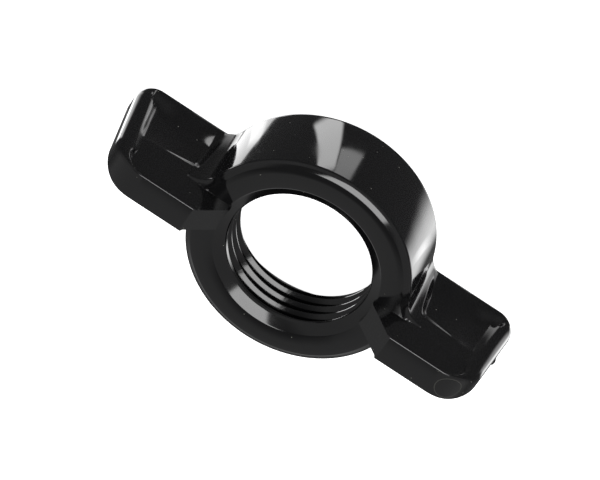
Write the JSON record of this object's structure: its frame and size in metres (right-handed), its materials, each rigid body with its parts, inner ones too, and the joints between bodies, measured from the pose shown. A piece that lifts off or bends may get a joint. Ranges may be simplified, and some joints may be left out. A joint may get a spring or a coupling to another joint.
{
  "type": "wing nut",
  "caption": "Large moulded plastic wing nut: a wide threaded ring with two upright finger wings, for clamping a fitting on a threaded shank by hand.",
  "frame": {"origin": "centre of the flat bearing face, on the thread's axis", "axes": "+Z along the thread's axis from the bearing face towards the front face, where the wings rise; +X along the wings; +Y completes a right-handed set"},
  "size_m": [0.0596, 0.0318, 0.0176],
  "materials": {
    "body": "injection-moulded gloss black"
  },
  "bodies": {
    "root": {"wing_nut": "body"}
  },
  "joints": []
}
